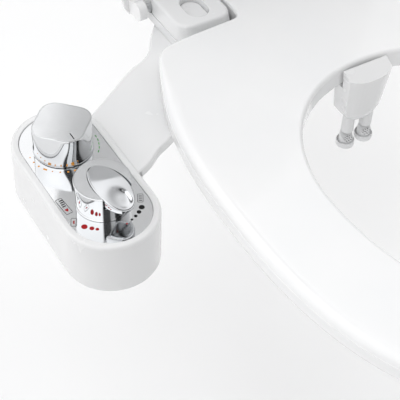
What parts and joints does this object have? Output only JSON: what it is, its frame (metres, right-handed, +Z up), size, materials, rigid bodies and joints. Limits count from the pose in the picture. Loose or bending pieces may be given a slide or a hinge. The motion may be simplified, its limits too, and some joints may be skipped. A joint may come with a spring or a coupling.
{
  "type": "bidet toilet seat",
  "caption": "Toilet seat and lid clamped over a thin bidet attachment with a side control housing, two knobs and two sliding nozzles.",
  "frame": {"origin": "on the underside of the mounting plate, midway between the two seat bolts, which is the top of the bowl's rear deck", "axes": "+X to the right as seen from the front, -Y to the front of the bowl, +Z up"},
  "size_m": [0.475, 0.6163, 0.5685],
  "materials": {
    "white_gloss": "glossy white ABS moulding",
    "seat_white": "polished white thermoset",
    "white_matte": "plain white plastic",
    "grey_plastic": "light grey plastic",
    "chrome_face": "bright plated face plate",
    "chrome": "polished chrome plating",
    "steel": "bright stainless steel",
    "brass": "machined brass",
    "white_rubber": "soft white rubber",
    "black_rubber": "black seal rubber",
    "water_tube": "milky polyethylene tube"
  },
  "bodies": {
    "root": {"control_shell": "white_gloss", "plate_base": "white_matte", "control_base": "grey_plastic", "base_screw_1": "steel", "base_screw_2": "steel", "base_screw_3": "steel", "base_screw_4": "steel", "face_plate": "chrome_face", "valve_manifold": "grey_plastic", "selector_cartridge": "brass", "pressure_cartridge": "brass", "rear_stem_seal": "black_rubber", "front_stem_seal": "black_rubber", "inlet_port": "brass", "inlet_nut": "brass", "rear_wash_tube": "water_tube", "front_wash_tube": "water_tube", "nozzle_guard": "white_gloss", "rear_wash_spring": "steel", "front_wash_spring": "steel", "left_slider_disc": "grey_plastic", "right_slider_disc": "grey_plastic", "left_seat_bolt": "steel", "right_seat_bolt": "steel", "left_bolt_washer": "white_rubber", "right_bolt_washer": "white_rubber", "left_wing_nut": "white_matte", "right_wing_nut": "white_matte", "left_hinge_base": "white_gloss", "right_hinge_base": "white_gloss", "left_hinge_cap": "white_gloss", "right_hinge_cap": "white_gloss", "left_hinge_pin": "steel", "right_hinge_pin": "steel"},
    "seat": {"seat_ring": "seat_white", "seat_pad_1": "white_rubber", "seat_pad_2": "white_rubber", "seat_pad_3": "white_rubber", "seat_pad_4": "white_rubber"},
    "lid": {"lid_panel": "seat_white", "lid_pad_1": "white_rubber", "lid_pad_2": "white_rubber", "lid_pad_3": "white_rubber", "lid_pad_4": "white_rubber"},
    "rear_knob": {"rear_knob": "chrome", "rear_knob_stem": "steel"},
    "front_knob": {"front_knob": "chrome", "front_lever": "chrome", "front_knob_stem": "steel"},
    "rear_nozzle": {"rear_wash_stem": "white_gloss", "rear_wash_head": "white_gloss"},
    "front_nozzle": {"front_wash_stem": "white_gloss", "front_wash_head": "white_gloss"},
    "left_button": {"left_release_button": "white_gloss"},
    "right_button": {"right_release_button": "white_gloss"}
  },
  "joints": [
    {"name": "seat_hinge", "type": "hinge", "parent": "root", "child": "seat", "pos_m": [0, 0.016, 0.0195], "axis": [-1, 0, 0], "range_deg": [0, 96]},
    {"name": "lid_hinge", "type": "hinge", "parent": "root", "child": "lid", "pos_m": [0, 0.016, 0.0195], "axis": [-1, 0, 0], "range_deg": [-102, 0]},
    {"name": "rear_knob_turn", "type": "hinge", "parent": "root", "child": "rear_knob", "pos_m": [-0.25, -0.095, 0.01], "axis": [0, 0, 1], "range_deg": [-95, 95]},
    {"name": "front_knob_turn", "type": "hinge", "parent": "root", "child": "front_knob", "pos_m": [-0.25, -0.161, 0.01], "axis": [0, 0, 1], "range_deg": [-120, 60]},
    {"name": "rear_nozzle_slide", "type": "slide", "parent": "root", "child": "rear_nozzle", "axis": [0, 0, -1], "range_m": [-0.016, 0]},
    {"name": "front_nozzle_slide", "type": "slide", "parent": "root", "child": "front_nozzle", "axis": [0, 0, -1], "range_m": [-0.016, 0]},
    {"name": "left_button_press", "type": "slide", "parent": "root", "child": "left_button", "axis": [0, 0, -1], "range_m": [0, 0.002], "stiffness_N_per_m": 400},
    {"name": "right_button_press", "type": "slide", "parent": "root", "child": "right_button", "axis": [0, 0, -1], "range_m": [0, 0.002], "stiffness_N_per_m": 400}
  ]
}
